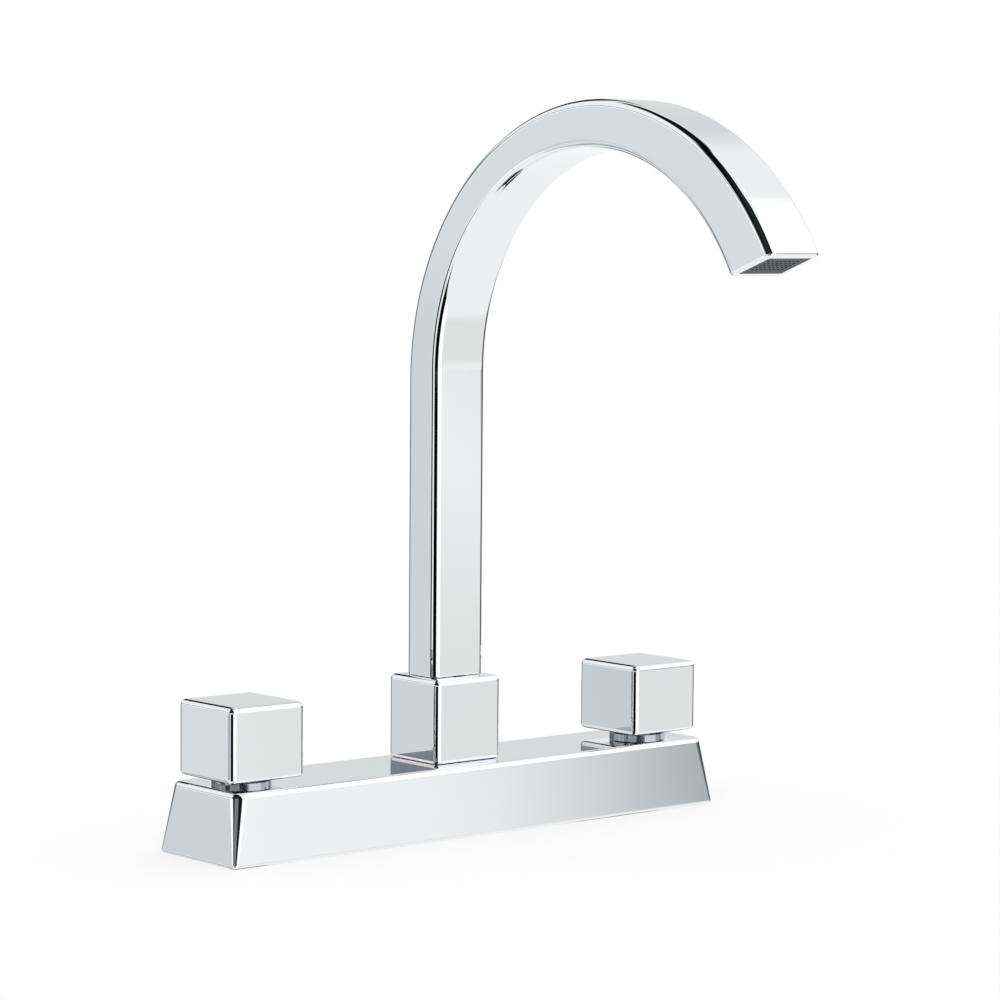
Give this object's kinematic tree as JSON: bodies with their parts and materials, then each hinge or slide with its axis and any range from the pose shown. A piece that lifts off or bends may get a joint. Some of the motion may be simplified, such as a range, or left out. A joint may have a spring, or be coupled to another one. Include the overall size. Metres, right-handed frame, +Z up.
{
  "type": "two handle kitchen faucet",
  "caption": "Square-styled chrome deck faucet with cube handles on a long tapered base and a rectangular swivel spout in a high arch.",
  "frame": {"origin": "on the deck surface, midway between the two handle axes", "axes": "+X along the base, +Z up, -Y towards the user and the sink bowl"},
  "size_m": [0.2446, 0.2152, 0.3405],
  "materials": {
    "brass": "plain turned and cast brass",
    "bush_plastic": "black low-friction acetal",
    "ceramic": "lapped white alumina ceramic",
    "chrome": "mirror chrome plate",
    "copper": "drawn copper tube",
    "outlet_plastic": "dark grey moulded plastic",
    "rubber": "black moulded rubber",
    "stainless": "stainless steel",
    "steel": "zinc-plated steel"
  },
  "bodies": {
    "base": {"centre_body": "brass", "deck_cover": "chrome", "deck_gasket": "rubber", "hub_block": "chrome", "hub_seal": "rubber", "keeper_screw": "stainless", "left_cartridge_body": "brass", "left_cartridge_o_ring": "rubber", "left_collar": "chrome", "left_cross_tube": "copper", "left_fixed_disc": "ceramic", "left_gland_nut": "brass", "left_inlet_shank": "brass", "left_lock_nut": "brass", "left_mounting_washer": "steel", "left_seat_seal": "rubber", "left_valve_body": "brass", "right_cartridge_body": "brass", "right_cartridge_o_ring": "rubber", "right_collar": "chrome", "right_cross_tube": "copper", "right_fixed_disc": "ceramic", "right_gland_nut": "brass", "right_inlet_shank": "brass", "right_lock_nut": "brass", "right_mounting_washer": "steel", "right_seat_seal": "rubber", "right_valve_body": "brass", "swivel_bush": "bush_plastic"},
    "left_handle": {"left_stem": "brass", "left_stem_o_rings": "rubber", "left_turning_disc": "ceramic", "left_neck_ring": "chrome", "left_handle_cube": "chrome", "left_handle_screw": "stainless"},
    "right_handle": {"right_stem": "brass", "right_stem_o_rings": "rubber", "right_turning_disc": "ceramic", "right_neck_ring": "chrome", "right_handle_cube": "chrome", "right_handle_screw": "stainless"},
    "spout": {"spout_tube": "chrome", "spout_plug": "brass", "spout_journal": "brass", "spout_o_rings": "rubber", "outlet_insert": "outlet_plastic", "outlet_screen": "stainless", "outlet_seal": "rubber"}
  },
  "joints": [
    {"name": "left_handle_turn", "type": "hinge", "parent": "base", "child": "left_handle", "pos_m": [-0.1016, 0, 0.0306], "axis": [0, 0, 1], "range_deg": [0, 90]},
    {"name": "right_handle_turn", "type": "hinge", "parent": "base", "child": "right_handle", "pos_m": [0.1016, 0, 0.0306], "axis": [0, 0, 1], "range_deg": [-90, 0]},
    {"name": "spout_swivel", "type": "hinge", "parent": "base", "child": "spout", "pos_m": [0, 0.0026, 0.0625], "axis": [0, 0, 1], "continuous": true}
  ]
}
